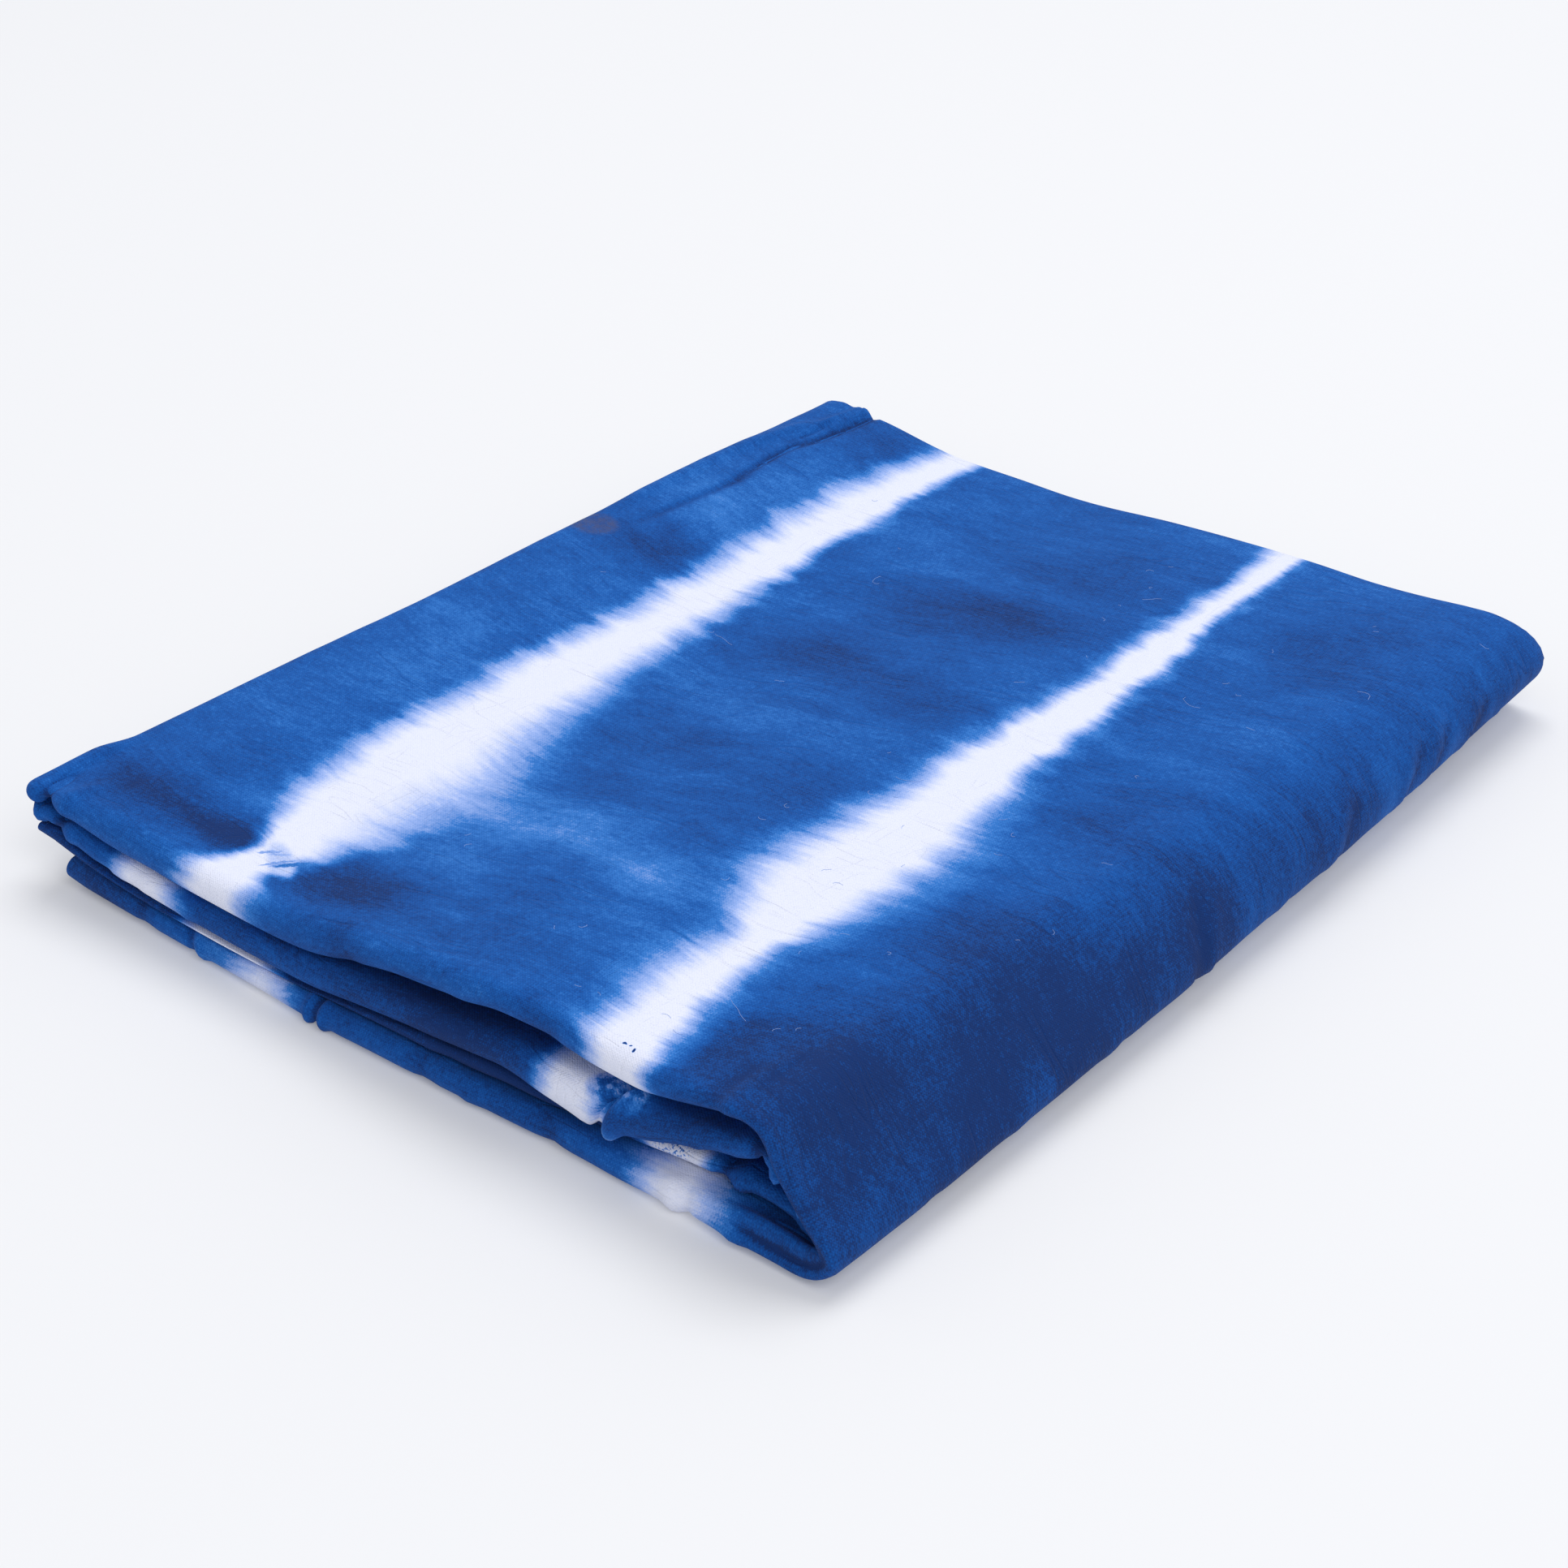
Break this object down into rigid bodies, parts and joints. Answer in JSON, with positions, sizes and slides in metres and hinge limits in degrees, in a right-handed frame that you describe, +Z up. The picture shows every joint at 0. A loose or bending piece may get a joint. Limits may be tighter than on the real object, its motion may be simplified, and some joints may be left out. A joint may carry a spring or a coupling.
{
  "type": "folded shibori dyed cloth",
  "caption": "Length of indigo shibori dyed cotton folded into a soft flat bundle, with a wide rounded fold on one side and white resist bands along it.",
  "frame": {"origin": "middle of the bundle's footprint, on the surface it rests on", "axes": "+Z up; +Y along the folds, away from the lipped front edge; +X across the folds, towards the wide rounded fold"},
  "size_m": [0.2978, 0.362, 0.0432],
  "materials": {
    "dyed_cotton": "matt plain-weave cotton, indigo blue shading from navy to mid blue, with white resist bands"
  },
  "bodies": {
    "root": {"folded_cloth": "dyed_cotton"}
  },
  "joints": []
}
